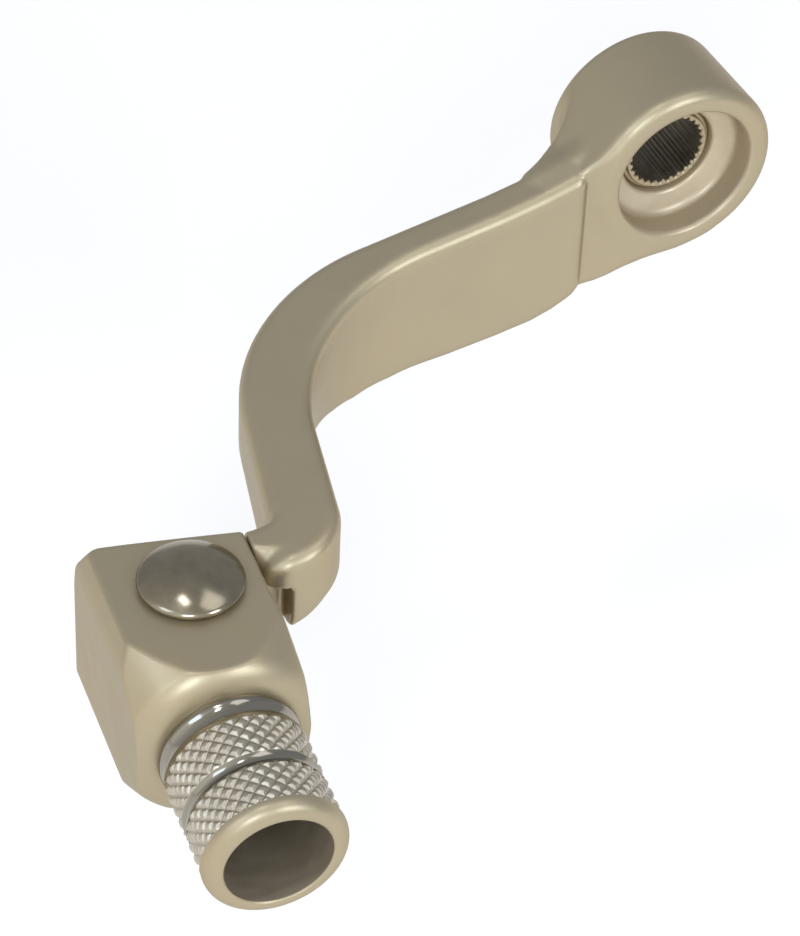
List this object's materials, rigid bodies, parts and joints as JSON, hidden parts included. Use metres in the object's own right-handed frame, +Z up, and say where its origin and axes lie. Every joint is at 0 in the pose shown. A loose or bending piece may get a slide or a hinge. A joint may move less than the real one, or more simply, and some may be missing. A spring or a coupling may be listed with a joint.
{
  "type": "gear change lever",
  "caption": "Motorcycle gear-change lever: counterbored splined hub, cranked forged arm and a spring-return folding toe block with a hollow knurled peg.",
  "frame": {"origin": "middle of the splined bore, on the shift shaft's axis", "axes": "+Z up along the folding pivot, Y along the shift shaft with the outer side at -Y and the engine at +Y, the lever runs forward to -X"},
  "size_m": [0.128, 0.1008, 0.0492],
  "materials": {
    "satin_aluminium": "satin bead-blasted, clear anodised",
    "turned_aluminium": "machined knurl with polished bands",
    "insert_steel": "machined",
    "spring_steel": "drawn wire",
    "polished_steel": "polished",
    "bearing_bronze": "machined"
  },
  "bodies": {
    "arm": {"lever_arm": "satin_aluminium", "spline_insert": "insert_steel", "pivot_bush": "bearing_bronze", "upper_thrust_washer": "bearing_bronze", "lower_thrust_washer": "bearing_bronze", "torsion_spring": "spring_steel"},
    "tip": {"tip_block": "satin_aluminium", "knurled_peg": "turned_aluminium", "pivot_rivet": "polished_steel", "rivet_washer": "insert_steel"}
  },
  "joints": [
    {"name": "tip_fold", "type": "hinge", "parent": "arm", "child": "tip", "pos_m": [-0.0982, -0.0545, -0.02], "axis": [0, 0, 1], "range_deg": [0, 28], "stiffness_Nm_per_rad": 0.13, "springref_deg": -57.3, "deforming": ["torsion_spring"]}
  ]
}
